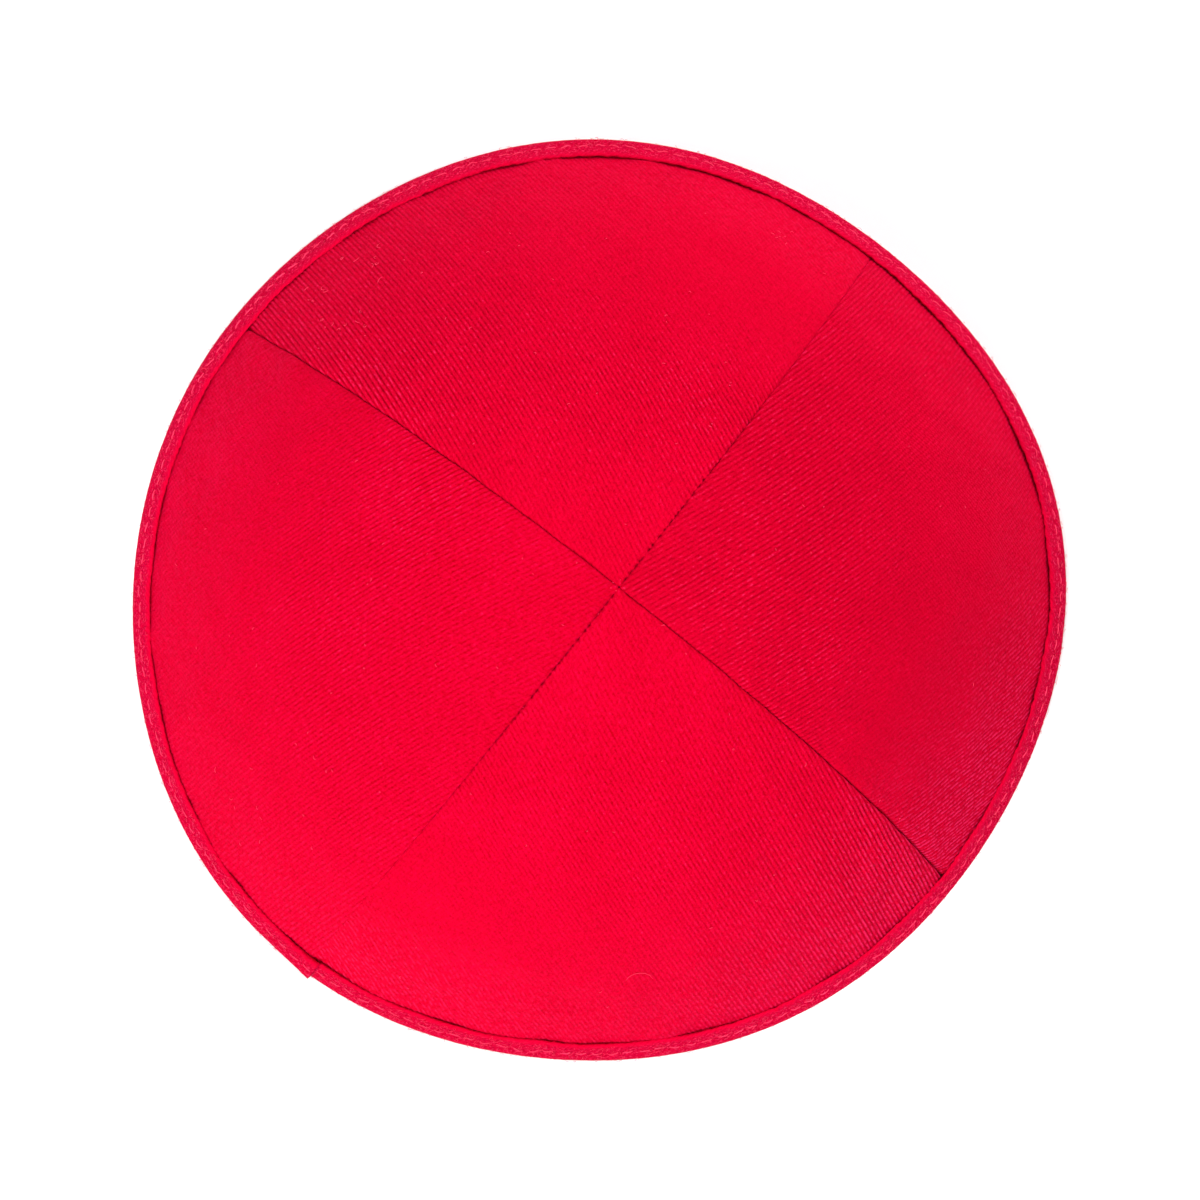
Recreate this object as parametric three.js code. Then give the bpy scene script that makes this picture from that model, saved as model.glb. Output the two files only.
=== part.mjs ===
import * as THREE from "three";

// Driving dimensions, in millimetres and degrees. +Z is up, -Y is the front.
const RIM_RADIUS = 85;
const CROWN_HEIGHT = 60;
const CLOTH_WALL = 1.2;
const SEAM_GAP = 0.3;
const TAPE_THICKNESS = 1;
const TAPE_GAP = 0.3;

// The crown falls away from its top as a square and a fourth power of the radius.
const SQUARE_SHARE = 0.575;
const RIM_SLOPE_DEG = 64;

// Each panel is a little flatter than the round dome, so the seams stand out as soft ridges.
const SEAM_RIDGE = 1.5;

// The cloth rolls down into each seam, and inside it is doubled beside the seam.
const SEAM_ROLL = { width: 1.6, depth: 0.35 };
const SEAM_ALLOWANCE = { width: 7, step: 0.6, thickness: 0.6 };

// The rim as it lies isn't a true circle.
const RIM_WAVES = [
  { waves: 2, depth: 0.92, phaseDeg: -36 },
  { waves: 3, depth: 0.61, phaseDeg: 42 },
  { waves: 4, depth: 0.35, phaseDeg: -33 },
  { waves: 5, depth: 0.44, phaseDeg: -20 },
];

// A panel runs anticlockwise, seen from above, from one seam to the next.
const PANELS = [
  { name: "crown_panel_right", fromDeg: -45.2, toDeg: 44.8 },
  { name: "crown_panel_back", fromDeg: 44.8, toDeg: 135.6 },
  { name: "crown_panel_left", fromDeg: 135.6, toDeg: 224.8 },
  { name: "crown_panel_front", fromDeg: 224.8, toDeg: 314.8 },
];
const PANEL_RINGS = 18;
const PANEL_MIDDLE_COLUMNS = 10;

// Section of the binding: up the slope of the crown, and out from the crown's outer face.
const CROWN_EDGE_UP = 1.8;
const POCKET_FLOOR_UP = 1.5;
const OUTER_LEG = TAPE_GAP + TAPE_THICKNESS;
const INNER_POCKET = -(CLOTH_WALL + TAPE_GAP);
const INNER_LEG = INNER_POCKET - TAPE_THICKNESS;
const BINDING_SECTION = [
  { up: 5.3, out: TAPE_GAP, lapped: 0 },
  { up: 5.5, out: TAPE_GAP + 0.45, lapped: 1 },
  { up: 5.1, out: OUTER_LEG, lapped: 1 },
  { up: 3.4, out: OUTER_LEG + 0.15, lapped: 1 },
  { up: 1.6, out: OUTER_LEG + 0.05, lapped: 1 },
  { up: 0.3, out: OUTER_LEG - 0.2, lapped: 1 },
  { up: -0.3, out: 0.6, lapped: 1, foot: true },
  { up: 0.9, out: -1.8, lapped: 0, foot: true },
  { up: 1.8, out: INNER_LEG, lapped: 0 },
  { up: 3.4, out: INNER_LEG - 0.1, lapped: 0 },
  { up: 5, out: INNER_LEG + 0.1, lapped: 0 },
  { up: 5.4, out: INNER_POCKET - 0.45, lapped: 0 },
  { up: 5.2, out: INNER_POCKET, lapped: 0 },
  { up: POCKET_FLOOR_UP, out: INNER_POCKET, lapped: 0 },
  { up: POCKET_FLOOR_UP, out: TAPE_GAP, lapped: 0 },
];
const BINDING_COLUMNS = 120;

// One end of the tape laps over the other at the front left seam, and its lower corner stands out.
const LAP = { endDeg: 225, length: 11, rise: 0.6, cornerLength: 3, cornerOut: 0.9, edge: 0.25 };

const CLOTH_RED = 0xdd0b36;
const BINDING_RED = 0xd6103a;
const CLOTH_ROUGHNESS = 0.85;

const radians = THREE.MathUtils.degToRad;

// Radius of the crown's outer face where it would meet the surface it stands on.
function footRadius(angle) {
  const proud = (OUTER_LEG - 0.1) * Math.sin(radians(RIM_SLOPE_DEG));
  const waves = RIM_WAVES.map((w) => w.depth * Math.cos(w.waves * angle + radians(w.phaseDeg)));
  return RIM_RADIUS - proud + waves.reduce((sum, depth) => sum + depth, 0);
}

// How far a point between two seams stands out, from nothing at mid panel to one at the seams.
function ridgeShare(angle) {
  const fromMiddles = PANELS.map((panel) => {
    const middle = radians((panel.fromDeg + panel.toDeg) / 2);
    const turn = THREE.MathUtils.euclideanModulo(angle - middle, 2 * Math.PI);
    return Math.min(turn, 2 * Math.PI - turn);
  });
  return (1 - Math.cos(2 * Math.min(...fromMiddles))) / 2;
}

// A point of the crown at a share of the way from its top to its foot, sunk below its outer face.
function crownPoint(angle, share, sunk) {
  const foot = footRadius(angle);
  const ridge = SEAM_RIDGE * ridgeShare(angle) * 4 * share * Math.max(0, 1 - share);
  const fall = SQUARE_SHARE * share ** 2 + (1 - SQUARE_SHARE) * share ** 4;
  const steepness = 2 * SQUARE_SHARE * share + 4 * (1 - SQUARE_SHARE) * share ** 3;
  const slope = Math.atan((CROWN_HEIGHT * steepness) / foot);
  const radius = share * foot + ridge - sunk * Math.sin(slope);
  const height = CROWN_HEIGHT * (1 - fall) - sunk * Math.cos(slope);
  return new THREE.Vector3(radius * Math.cos(angle), radius * Math.sin(angle), height);
}

// The share of the way from top to foot at a distance up the slope from the foot.
function shareAt(up, angle) {
  const stretch = 1 / Math.cos(radians(RIM_SLOPE_DEG));
  return 1 - up / (footRadius(angle) * stretch);
}

// Collects corners and faces of a closed body.
class Body {
  corners = [];
  faces = [];

  addCorner(point) {
    this.corners.push(point.x, point.y, point.z);
    return this.corners.length / 3 - 1;
  }

  addQuad(a, b, c, d) {
    [[a, b, c], [a, c, d]].forEach((face) => {
      if (new Set(face).size === 3) this.faces.push(...face);
    });
  }

  geometry() {
    const geometry = new THREE.BufferGeometry();
    geometry.setAttribute("position", new THREE.Float32BufferAttribute(this.corners, 3));
    geometry.setIndex(this.faces);
    geometry.computeVertexNormals();
    return geometry;
  }
}

// Columns across a panel at one ring: angle, drop of the outer face and depth of the inner face.
function panelColumns(from, to, radius) {
  const half = (to - from) / 2;
  const inwards = (distance, mostShare) => Math.min(distance / radius, mostShare * half);
  const allowanceEnd = SEAM_ALLOWANCE.width + SEAM_ALLOWANCE.step;
  const doubled = CLOTH_WALL + SEAM_ALLOWANCE.thickness;
  const beside = [
    { turn: 0, drop: SEAM_ROLL.depth, depth: doubled },
    { turn: inwards(SEAM_ROLL.width, 0.2), drop: 0, depth: doubled },
    { turn: inwards(SEAM_ALLOWANCE.width, 0.5), drop: 0, depth: doubled },
  ];
  const inner = inwards(allowanceEnd, 0.55);
  const middle = Array.from({ length: PANEL_MIDDLE_COLUMNS + 1 }, (_, column) => ({
    turn: inner + ((2 * half - 2 * inner) * column) / PANEL_MIDDLE_COLUMNS,
    drop: 0,
    depth: CLOTH_WALL,
  }));
  const beyond = beside.map((column) => ({ ...column, turn: 2 * half - column.turn })).reverse();
  return [...beside, ...middle, ...beyond].map((column) => ({
    angle: from + column.turn,
    drop: column.drop,
    depth: column.depth,
  }));
}

// Equal steps over the bend of the dome, from the top to the crown's edge inside the binding.
function ringShare(ring) {
  const bend = radians(RIM_SLOPE_DEG);
  const edge = shareAt(CROWN_EDGE_UP, 0);
  return (edge * Math.sin((bend * ring) / PANEL_RINGS)) / Math.sin(bend);
}

// The doubled cloth ends above the binding.
function wallDepth(column, share) {
  const bindingTop = shareAt(BINDING_SECTION[1].up + 1, column.angle);
  return share < bindingTop ? column.depth : CLOTH_WALL;
}

function crownPanel({ name, fromDeg, toDeg }) {
  const [from, to] = [radians(fromDeg), radians(toDeg)];
  const body = new Body();
  const middle = (from + to) / 2;
  const topOuter = body.addCorner(crownPoint(middle, 0, SEAM_ROLL.depth));
  const topInner = body.addCorner(crownPoint(middle, 0, CLOTH_WALL + SEAM_ALLOWANCE.thickness));
  const outer = [];
  const inner = [];
  for (let ring = 0; ring <= PANEL_RINGS; ring += 1) {
    const share = ringShare(ring);
    const columns = panelColumns(from, to, Math.max(share * RIM_RADIUS, 1));
    const addRow = (topCorner, sunk) => columns.map((column) => {
      if (ring === 0) return topCorner;
      return body.addCorner(crownPoint(column.angle, share, sunk(column, share)));
    });
    outer.push(addRow(topOuter, (column) => column.drop));
    inner.push(addRow(topInner, wallDepth));
  }
  const last = outer[0].length - 1;
  for (let ring = 0; ring < PANEL_RINGS; ring += 1) {
    const [o, oBelow] = [outer[ring], outer[ring + 1]];
    const [i, iBelow] = [inner[ring], inner[ring + 1]];
    for (let column = 0; column < last; column += 1) {
      body.addQuad(o[column], oBelow[column], oBelow[column + 1], o[column + 1]);
      body.addQuad(i[column], i[column + 1], iBelow[column + 1], iBelow[column]);
    }
    body.addQuad(o[0], i[0], iBelow[0], oBelow[0]);
    body.addQuad(o[last], oBelow[last], iBelow[last], i[last]);
  }
  const [oEdge, iEdge] = [outer[PANEL_RINGS], inner[PANEL_RINGS]];
  for (let column = 0; column < last; column += 1) {
    body.addQuad(oEdge[column], iEdge[column], iEdge[column + 1], oEdge[column + 1]);
  }
  const panel = clothMesh(name, body.geometry(), CLOTH_RED);
  // Moved out along its middle line, each panel leaves half of the gap at both of its seams.
  const outwards = SEAM_GAP / Math.SQRT2;
  panel.position.set(outwards * Math.cos(middle), outwards * Math.sin(middle), 0);
  return panel;
}

// Angles of the binding's sections, anticlockwise from just past the lapped end round to it.
function bindingAngles() {
  const end = radians(LAP.endDeg);
  const corner = LAP.cornerLength / RIM_RADIUS;
  const lap = LAP.length / RIM_RADIUS;
  const edge = LAP.edge / RIM_RADIUS;
  const whole = 2 * Math.PI - lap - edge;
  const even = Array.from({ length: BINDING_COLUMNS }, (_, n) => (
    end + edge + (whole * n) / (BINDING_COLUMNS - 1)
  ));
  const lapped = [lap - edge, lap / 2, corner, corner / 2, 0];
  return [...even, ...lapped.map((before) => end + 2 * Math.PI - before)];
}

// How far the outer leg is lifted by the end below it, and pushed out at the free corner.
function lapLift(angle) {
  const before = (radians(LAP.endDeg) + 2 * Math.PI - angle) * RIM_RADIUS;
  const lifted = before < LAP.length - LAP.edge / 2 ? LAP.rise : 0;
  const cornerShare = Math.max(0, 1 - before / LAP.cornerLength);
  return { lifted, corner: LAP.cornerOut * cornerShare };
}

function bindingPoint(row, angle) {
  const lift = lapLift(angle);
  const low = THREE.MathUtils.clamp((3 - row.up) / 3, 0, 1);
  const out = row.out + row.lapped * (lift.lifted + lift.corner * low);
  const point = crownPoint(angle, shareAt(row.up, angle), -out);
  if (row.foot) point.z = 0;
  return point;
}

function rimBinding() {
  const body = new Body();
  const sections = bindingAngles().map((angle) => (
    BINDING_SECTION.map((row) => body.addCorner(bindingPoint(row, angle)))
  ));
  sections.forEach((section, n) => {
    const next = sections[(n + 1) % sections.length];
    section.forEach((corner, row) => {
      const below = (row + 1) % section.length;
      body.addQuad(corner, section[below], next[below], next[row]);
    });
  });
  return clothMesh("rim_binding", body.geometry(), BINDING_RED);
}

function clothMesh(name, geometry, color) {
  const material = new THREE.MeshStandardMaterial({
    color,
    roughness: CLOTH_ROUGHNESS,
    metalness: 0,
  });
  const mesh = new THREE.Mesh(geometry, material);
  mesh.name = name;
  return mesh;
}

// The origin is under the middle of the whole outline, on the surface that the rim rests on.
function kippah() {
  const pieces = new THREE.Group();
  pieces.add(...PANELS.map(crownPanel), rimBinding());
  const outline = new THREE.Box3().setFromObject(pieces);
  const centre = outline.getCenter(new THREE.Vector3());
  pieces.position.set(-centre.x, -centre.y, 0);
  const whole = new THREE.Group();
  whole.add(pieces);
  return whole;
}

export default kippah();
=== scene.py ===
import math

import bpy
import numpy as np
from mathutils import Matrix, Vector


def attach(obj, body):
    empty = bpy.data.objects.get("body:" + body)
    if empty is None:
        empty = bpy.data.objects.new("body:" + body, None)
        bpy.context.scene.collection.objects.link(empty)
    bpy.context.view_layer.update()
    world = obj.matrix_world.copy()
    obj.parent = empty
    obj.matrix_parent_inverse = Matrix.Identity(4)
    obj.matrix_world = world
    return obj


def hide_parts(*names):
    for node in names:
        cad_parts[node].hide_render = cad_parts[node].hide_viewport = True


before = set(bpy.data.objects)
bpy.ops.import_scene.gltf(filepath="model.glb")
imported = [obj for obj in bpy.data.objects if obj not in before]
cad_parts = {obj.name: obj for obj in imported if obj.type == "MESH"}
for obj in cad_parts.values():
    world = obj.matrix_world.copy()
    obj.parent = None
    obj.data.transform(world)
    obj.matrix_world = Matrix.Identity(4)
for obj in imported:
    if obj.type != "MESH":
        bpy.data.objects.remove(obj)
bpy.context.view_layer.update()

# Driving dimensions, in metres and degrees. +Z is up, -Y is the front.
MM = 0.001
RIM_RADIUS = 85 * MM
CROWN_HEIGHT = 60 * MM
CLOTH_WALL = 1.2 * MM
ALLOWANCE_WIDTH = 7 * MM
ALLOWANCE_THICKNESS = 0.6 * MM
ALLOWANCE_END_SHARE = 0.93
SEAM_GAP = 0.02 * MM

# The crown falls away from its top as a square and a fourth power of the radius.
SQUARE_SHARE = 0.575
RIM_SLOPE = math.radians(64)
SEAM_RIDGE = 1.5 * MM
CROWN_EDGE_UP = 1.8 * MM

# The rim as it lies isn't a true circle: waves round it, their depth and where each one is at its most.
RIM_WAVES = [
    (2, 0.92 * MM, math.radians(-36)),
    (3, 0.61 * MM, math.radians(42)),
    (4, 0.35 * MM, math.radians(-33)),
    (5, 0.44 * MM, math.radians(-20)),
]

# A panel runs anticlockwise, seen from above, from one seam to the next. Its ribs slant from its middle
# line by twill_deg, pitch apart. The stretch is how the flat cloth grows from the plan: its length with the
# square of the distance out and across, and then its width the same way. Its painted shade darkens the
# whole panel, for how the light falls across its twill. Its painted sheen is how much pinker the crests of
# the ribs are painted than the valleys, which are painted less pink. A row of ribs is how high they stand,
# and how strongly their valleys are painted in shade and their crests painted light; a row of wear and
# sheen is how much their crests are painted a lighter pink, painted sheen as well as wear; each row is
# beside the first seam, in the middle and beside the next seam. The two lists of shares just below are the
# shares of the way down that the rows of ribs and the rows of wear and sheen are for.
RIB_ROWS = (0.2, 0.45, 0.65, 0.78, 0.9)
SHEEN_AND_WEAR_ROWS = (0.62, 0.78, 0.92)
PANELS = [
    {
        "name": "right", "from_deg": -45.2, "to_deg": 44.8, "painted_shade": 0.92,
        "twill_deg": 22.3, "pitch": 0.885 * MM, "stretch": (0.461, 0.815, 0.084, 0.171),
        "ribs": [(1.0, 1.8, 1.0), (1.8, 1.65, 1.7), (0.1, 0.6, 1.6), (0.8, 0.15, 1.2), (1.9, 0.4, 0.9)],
        "worn_and_sheen": [(0, 0, 0), (0.2, 0.02, 0.04), (0.75, 0.08, 0.08)], "painted_sheen": 1.0,
    },
    {
        "name": "back", "from_deg": 44.8, "to_deg": 135.6, "painted_shade": 0.985,
        "twill_deg": 19.4, "pitch": 0.865 * MM, "stretch": (0.323, 0.36, 0.056, 0.091),
        "ribs": [(0.75, 1.0, 0.4), (1.8, 1.5, 1.2), (0.1, 0.8, 2.1), (0.15, 0.5, 1.8), (0.2, 0.5, 1.6)],
        "worn_and_sheen": [(0, 0, 0), (0, 0.02, 0.02), (0.1, 0.04, 0.06)], "painted_sheen": 1.1,
    },
    {
        "name": "left", "from_deg": 135.6, "to_deg": 224.8, "painted_shade": 0.965,
        "twill_deg": 18.5, "pitch": 0.866 * MM, "stretch": (0.448, 0.561, 0.08, 0.077),
        "ribs": [(0.65, 0.75, 0.5), (1.9, 1.2, 0.6), (0.8, 1.3, 0.9), (0.1, 0.6, 0.6), (0.3, 0.25, 0.6)],
        "worn_and_sheen": [(0, 0, 0), (0, 0.02, 0.03), (0.08, 0.04, 0.1)], "painted_sheen": 1.6,
    },
    {
        "name": "front", "from_deg": 224.8, "to_deg": 314.8, "painted_shade": 1.0,
        "twill_deg": 21.6, "pitch": 0.894 * MM, "stretch": (0.417, 0.654, 0.121, 0.162),
        "ribs": [(0.5, 0.6, 0.4), (0.9, 1.1, 1.0), (0.2, 0.95, 1.4), (0.1, 0.5, 1.75), (0.6, 0.4, 1.7)],
        "worn_and_sheen": [(0, 0, 0), (0, 0.01, 0.3), (0.2, 0.08, 0.5)], "painted_sheen": 1.5,
    },
]

# How deep the crease of each seam is at the top and at the rim, and how much its stitches break it up.
SEAMS = [
    {"deg": 44.8, "top": 0.95, "rim": 0.35, "stitched": 0.85},
    {"deg": 135.6, "top": 0.8, "rim": 0.85, "stitched": 0},
    {"deg": 224.8, "top": 0.95, "rim": 0.05, "stitched": 0.85},
    {"deg": 314.8, "top": 0.8, "rim": 1.1, "stitched": 0},
]
SEAM_FADES_WITHIN = 1.4 * MM
CREASE_DEPTH = 0.6 * MM
CREASE_WIDTH = 0.17 * MM
ROLL_DEPTH = 0.3 * MM
ROLL_WIDTH = 2.2 * MM
SEAM_STITCH_PITCH = 1.65 * MM
SEAM_THREAD_REACH = 76 * MM

# The crown is painted a lighter pink from its rim up to this height: painted sheen as well as wear.
SHEEN_AND_WEAR_HEIGHT = 30 * MM

# The ribs of the twill are lines of the mesh itself, with points crowded towards both ends.
RIB_HEIGHT = 0.15 * MM
RIB_MIDDLE = 0.6
LINES_PER_RIB = 5
POINTS_PER_LINE = 80
END_CROWDING = 0.84

# The cloth between the ribs and the seams isn't quite even: how deep its waves are, and how long.
SWELL = {"depth": 0.12 * MM, "wave": 14 * MM}
PUCKER = {"depth": 0.03 * MM, "wave": 2.5 * MM}

# Section of the binding: up the crown's slope, out from the crown's face, how much of the edge's gap and of
# the lap's lift and the creases it takes, and the points from here to the next row.
BINDING_SECTION = [
    {"up": 3.4, "out": 0.0, "gap": 0, "free": 0, "points": 3},
    {"up": 5.2, "out": 0.0, "gap": 1, "free": 0.4, "points": 3},
    {"up": 5.65, "out": 0.25, "gap": 1, "free": 0.6, "points": 3},
    {"up": 5.3, "out": 0.62, "gap": 0.8, "free": 1, "points": 5},
    {"up": 3.7, "out": 1.0, "gap": 0.3, "free": 1, "points": 7},
    {"up": 1.7, "out": 1.3, "gap": 0, "free": 1, "points": 6},
    {"up": 0.4, "out": 1.15, "gap": 0, "free": 0.8, "points": 3},
    {"up": -0.35, "out": 0.45, "gap": 0, "free": 0.4, "points": 3},
    {"up": 0.9, "out": -1.8, "gap": 0, "free": 0, "points": 2},
    {"up": 1.9, "out": -2.5, "gap": 0, "free": 0, "points": 2},
    {"up": 4.9, "out": -2.4, "gap": 0, "free": 0, "points": 2},
    {"up": 5.4, "out": -1.9, "gap": 0, "free": 0, "points": 1},
    {"up": 5.1, "out": -1.5, "gap": 0, "free": 0, "points": 2},
    {"up": 1.5, "out": -1.5, "gap": 0, "free": 0, "points": 1},
    {"up": 1.5, "out": 0.0, "gap": 0, "free": 0, "points": 1},
]
BINDING_COLUMNS = 1960
BINDING_PROUD = 1.2 * MM

# Creases of the tape: pulled in along the stitches, twisted between them, and lumpy.
PULL = {"between": 0.06 * MM, "at_needle": 0.1 * MM, "row": 0.6 * MM}
TWIST = {"height": 0.03 * MM, "pitch": 2.7 * MM, "slant": 0.9, "wander": 1.4}
LUMPS = [(0.05 * MM, 0.9 * MM, 13), (0.05 * MM, 5 * MM, 14)]

# The tape's edge stands off the crown all round, and the tape is sewn on wider towards the back right.
TAPE_GAP = {"least": 0.08 * MM, "most": 0.24 * MM, "most_deg": 40}
TAPE_RISE = {"mean": 0.8 * MM, "swing": 1.1 * MM, "most_deg": 38}

# One end of the tape laps over the other at the front left seam, and its lower corner stands out.
LAP = {"end_deg": 225.8, "length": 11 * MM, "rise": 0.5 * MM, "corner": 7 * MM, "corner_out": 0.6 * MM}
LAP_EDGE = 0.25 * MM

# The row of topstitching, up the slope, and the stitches in it.
STITCH_UP = 3.0 * MM
STITCH_PITCH = 3.0 * MM
STITCH_LENGTH = 2.3 * MM
THREAD_RADIUS = 0.12 * MM

# The tape is worn to fuzz: fibres all over its outside.
FUZZ = {"count": 1500, "lowest": 0.4 * MM, "highest": 4.9 * MM, "length": 1.5 * MM, "radius": 0.03 * MM}

# Lint that lies on the crown: where, how far it is strewn, how many fibres there are, how long and how
# curled they are.
LINT_RADIUS = 0.05 * MM
LINT = [
    {"deg": 268.4, "share": 0.82, "strewn": 0, "count": 1, "length": 9 * MM, "curl": 1.0},
    {"deg": 54, "share": 0.5, "strewn": 0.5 * MM, "count": 2, "length": 0.9 * MM, "curl": 1.8},
    {"deg": 53, "share": 0.395, "strewn": 0.5 * MM, "count": 2, "length": 0.9 * MM, "curl": 1.8},
    {"deg": 57, "share": 0.875, "strewn": 3 * MM, "count": 6, "length": 1 * MM, "curl": 1.8},
    {"deg": 122, "share": 0.875, "strewn": 10 * MM, "count": 16, "length": 2 * MM, "curl": 1.8},
    {"deg": 203, "share": 0.8, "strewn": 12 * MM, "count": 12, "length": 1.4 * MM, "curl": 1.8},
    {"deg": 0, "share": 0, "strewn": 2 * MM, "count": 5, "length": 0.8 * MM, "curl": 1.8},
    {"deg": 0, "share": 0, "strewn": 80 * MM, "count": 110, "length": 0.9 * MM, "curl": 1.8},
]

# The camera leans away from straight overhead, in the frame's own directions.
CAMERA_LEAN = math.radians(4.65)
CAMERA_LEANS_TO = math.radians(206.1)
PICTURE_TURN = math.radians(6.7)
CAMERA_DISTANCE = 1.5
CAMERA_LENS = 247.4
CAMERA_AIM = (-0.8 * MM, -0.7 * MM)
CAMERA_AIM_HEIGHT = 10 * MM

# The studio: soft boxes by the direction they stand in, and walls that are brighter than the ceiling.
SOFTBOXES = [
    {"name": "key", "azimuth_deg": 228, "elevation_deg": 35, "size": 1.0, "watts": 37},
    {"name": "fill", "azimuth_deg": 23, "elevation_deg": 40, "size": 1.0, "watts": 20},
    {"name": "back", "azimuth_deg": 93, "elevation_deg": 25, "size": 1.0, "watts": 16},
    {"name": "top", "azimuth_deg": 0, "elevation_deg": 88, "size": 1.0, "watts": 8},
]
SOFTBOX_DISTANCE = 1.6
WALL_TO_CEILING = [(0.2, 0.06), (0.5, 0.03)]
BACKDROP = (1.0, 1.0, 1.0, 1)
FLOOR_HALF = 1.4


def turned_from(angle, middle):
    """Signed angle from middle, between half a turn back and half a turn on."""
    return (angle - middle + math.pi) % (2 * math.pi) - math.pi


def ripple(points, wave, seed):
    """Smooth noise over points, about one in spread, whose waves are about that long."""
    draws = np.random.default_rng(seed)
    total = np.zeros(points.shape[:-1])
    for _ in range(12):
        direction = draws.normal(size=points.shape[-1])
        direction *= 2 * math.pi / (np.linalg.norm(direction) * wave * draws.uniform(0.6, 1.7))
        total += np.sin(points @ direction + draws.uniform(0, 2 * math.pi))
    return total / math.sqrt(6)


def foot_radius(angle):
    """Radius of the crown's outer face where it would meet the floor."""
    waves = sum(depth * np.cos(count * angle + phase) for count, depth, phase in RIM_WAVES)
    return RIM_RADIUS - BINDING_PROUD * math.sin(RIM_SLOPE) + waves


def ridge(angle, share):
    """How far the crown stands out towards its seams, where the panels are a little flatter than a dome."""
    middles = [math.radians(panel["from_deg"] + panel["to_deg"]) / 2 for panel in PANELS]
    nearest = np.min([np.abs(turned_from(angle, middle)) for middle in middles], axis=0)
    towards_seam = (1 - np.cos(2 * nearest)) / 2
    return SEAM_RIDGE * towards_seam * 4 * share * np.maximum(0, 1 - share)


def crown_point(angle, share, out):
    """Point of the crown at a share of the way from its top to its foot, out from its outer face."""
    foot = foot_radius(angle)
    fall = SQUARE_SHARE * share**2 + (1 - SQUARE_SHARE) * share**4
    steepness = 2 * SQUARE_SHARE * share + 4 * (1 - SQUARE_SHARE) * share**3
    slope = np.arctan(CROWN_HEIGHT * steepness / foot)
    radius = share * foot + ridge(angle, share) + out * np.sin(slope)
    height = CROWN_HEIGHT * (1 - fall) + out * np.cos(slope)
    return np.stack([radius * np.cos(angle), radius * np.sin(angle), height], axis=-1)


def share_up(angle, up):
    """The share of the way from top to foot at a distance up the slope from the foot."""
    return 1 - up * math.cos(RIM_SLOPE) / foot_radius(angle)


def share_at_radius(angle, radius):
    """The share of the way from top to foot at a distance from the axis."""
    share = radius / foot_radius(angle)
    for _ in range(6):
        share = (radius - ridge(angle, share)) / foot_radius(angle)
    return share


def outline_centre():
    """Middle of the rim's own box, which is the origin of the frame."""
    angle = np.linspace(0, 2 * math.pi, 721)
    rim = crown_point(angle, np.ones_like(angle), BINDING_PROUD)
    return (rim.min(axis=0) + rim.max(axis=0)) / 2 * np.array([1, 1, 0])


CENTRE = outline_centre()


def make_piece(name, points, quads, others=(), weave=None):
    """A mesh object from corners, four-sided faces and any others, with the cloth's own coordinates."""
    mesh = bpy.data.meshes.new(name)
    mesh.from_pydata(points.tolist(), [], quads.tolist() + [list(face) for face in others])
    mesh.polygons.foreach_set("use_smooth", np.ones(len(mesh.polygons), dtype=bool))
    if weave is not None:
        corners = np.empty(len(mesh.loops), dtype=np.int32)
        mesh.loops.foreach_get("vertex_index", corners)
        layer = mesh.uv_layers.new(name="weave")
        layer.uv.foreach_set("vector", weave[corners].astype(np.float32).ravel())
    mesh.update()
    piece = bpy.data.objects.new(name, mesh)
    bpy.context.scene.collection.objects.link(piece)
    return piece


# The crown: cloth coordinates of a panel are across its ribs and along them, in metres.
def flat_cloth(panel, angle, radius):
    """Where a point of the plan lies on the panel's flat cloth."""
    turn = turned_from(angle, math.radians(panel["from_deg"] + panel["to_deg"]) / 2)
    out, side = radius / RIM_RADIUS * np.cos(turn), radius / RIM_RADIUS * np.sin(turn)
    long_out, long_side, wide_out, wide_side = panel["stretch"]
    length = RIM_RADIUS * out * (1 + long_out * out**2 + long_side * side**2)
    width = RIM_RADIUS * side * (1 + wide_out * out**2 + wide_side * side**2)
    slant = math.radians(panel["twill_deg"])
    across = width * math.cos(slant) - length * math.sin(slant)
    along = length * math.cos(slant) + width * math.sin(slant)
    return across, along


def plan_of_cloth(panel, across, along):
    """Angle and radius on the plan of a point of the panel's flat cloth."""
    slant = math.radians(panel["twill_deg"])
    length = (along * math.cos(slant) - across * math.sin(slant)) / RIM_RADIUS
    width = (along * math.sin(slant) + across * math.cos(slant)) / RIM_RADIUS
    long_out, long_side, wide_out, wide_side = panel["stretch"]
    out, side = length.copy(), width.copy()
    for _ in range(30):
        new_out = length / (1 + long_out * out**2 + long_side * side**2)
        new_side = width / (1 + wide_out * out**2 + wide_side * side**2)
        out, side = (out + new_out) / 2, (side + new_side) / 2
    middle = math.radians(panel["from_deg"] + panel["to_deg"]) / 2
    return middle + np.arctan2(side, out), RIM_RADIUS * np.hypot(out, side)


def panel_outline(panel):
    """The edge of a panel on its flat cloth: out along one seam, round the rim and back along the other."""
    start, end = math.radians(panel["from_deg"]), math.radians(panel["to_deg"])
    steps = np.linspace(0, 1, 200)
    around = start + (end - start) * steps
    angle = np.concatenate([np.full(200, start), around, np.full(200, end)])
    edge = share_up(angle, CROWN_EDGE_UP)
    share = edge * np.concatenate([steps, np.ones(200), steps[::-1]])
    return flat_cloth(panel, angle, share * foot_radius(angle) + ridge(angle, share))


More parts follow.
